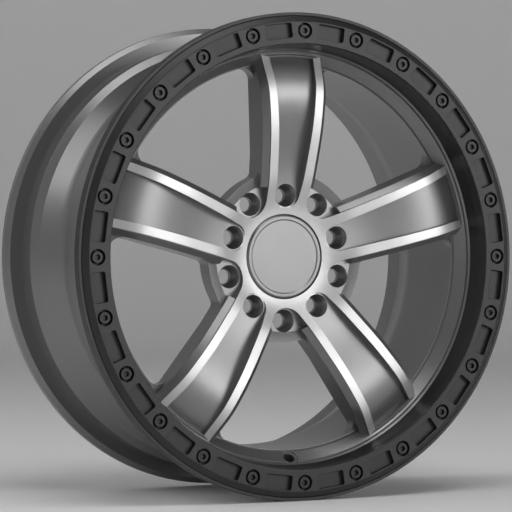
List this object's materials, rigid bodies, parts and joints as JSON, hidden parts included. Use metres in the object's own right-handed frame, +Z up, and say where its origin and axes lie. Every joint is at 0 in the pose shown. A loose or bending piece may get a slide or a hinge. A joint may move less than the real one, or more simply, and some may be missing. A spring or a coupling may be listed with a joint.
{
  "type": "beadlock wheel",
  "caption": "Cast alloy wheel with pocketed ribbed spokes, turned face, deep barrel, bolted black outer ring in beadlock style and a plain snap-in cap.",
  "frame": {"origin": "the wheel's centre, on its axis at half the overall width", "axes": "+Y along the wheel's axis from the face to the back, +Z up, the face looks towards -Y"},
  "size_m": [0.476, 0.2064, 0.4758],
  "materials": {
    "cast_alloy": "gunmetal paint with a turned bright face",
    "ring_black": "satin black paint",
    "bolt_steel": "black oxide",
    "cap_grey": "satin gunmetal paint",
    "spring_steel": "bright"
  },
  "bodies": {
    "root": {"wheel_casting": "cast_alloy", "beadlock_ring": "ring_black", "ring_bolts": "bolt_steel", "center_cap": "cap_grey", "cap_retaining_ring": "spring_steel"}
  },
  "joints": []
}
